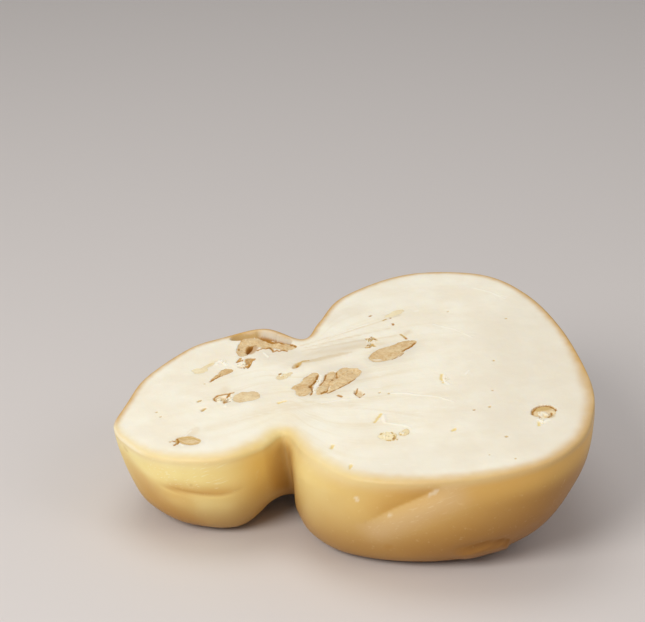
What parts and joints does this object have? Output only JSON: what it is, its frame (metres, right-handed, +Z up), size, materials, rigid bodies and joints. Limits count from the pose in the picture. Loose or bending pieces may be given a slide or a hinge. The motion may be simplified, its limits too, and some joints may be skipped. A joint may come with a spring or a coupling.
{
  "type": "halved buffalo cheese",
  "caption": "Half of a gourd-shaped stretched-curd buffalo cheese lying cut face up, with walnut pieces in its pale paste and a smooth golden rind.",
  "frame": {"origin": "middle of the footprint, on the table the cheese lies on", "axes": "+X from the small head to the end of the large body, +Z up out of the cut face, +Y towards the back edge of the cut face"},
  "size_m": [0.2038, 0.1848, 0.0722],
  "materials": {
    "paste": "moist cream paste with a smooth golden waxy rind",
    "walnut": "dry cut kernel with a thin brown skin"
  },
  "bodies": {
    "root": {"cheese": "paste", "walnut_neck": "walnut", "walnut_middle_left": "walnut", "walnut_middle_right": "walnut", "walnut_head": "walnut", "walnut_back": "walnut", "walnut_end": "walnut", "walnut_front": "walnut", "walnut_sliver": "walnut", "walnut_bit": "walnut", "walnut_pale": "walnut", "walnut_flake": "walnut", "walnut_crumbly": "walnut", "walnut_crumb": "walnut", "walnut_faint": "walnut"}
  },
  "joints": []
}
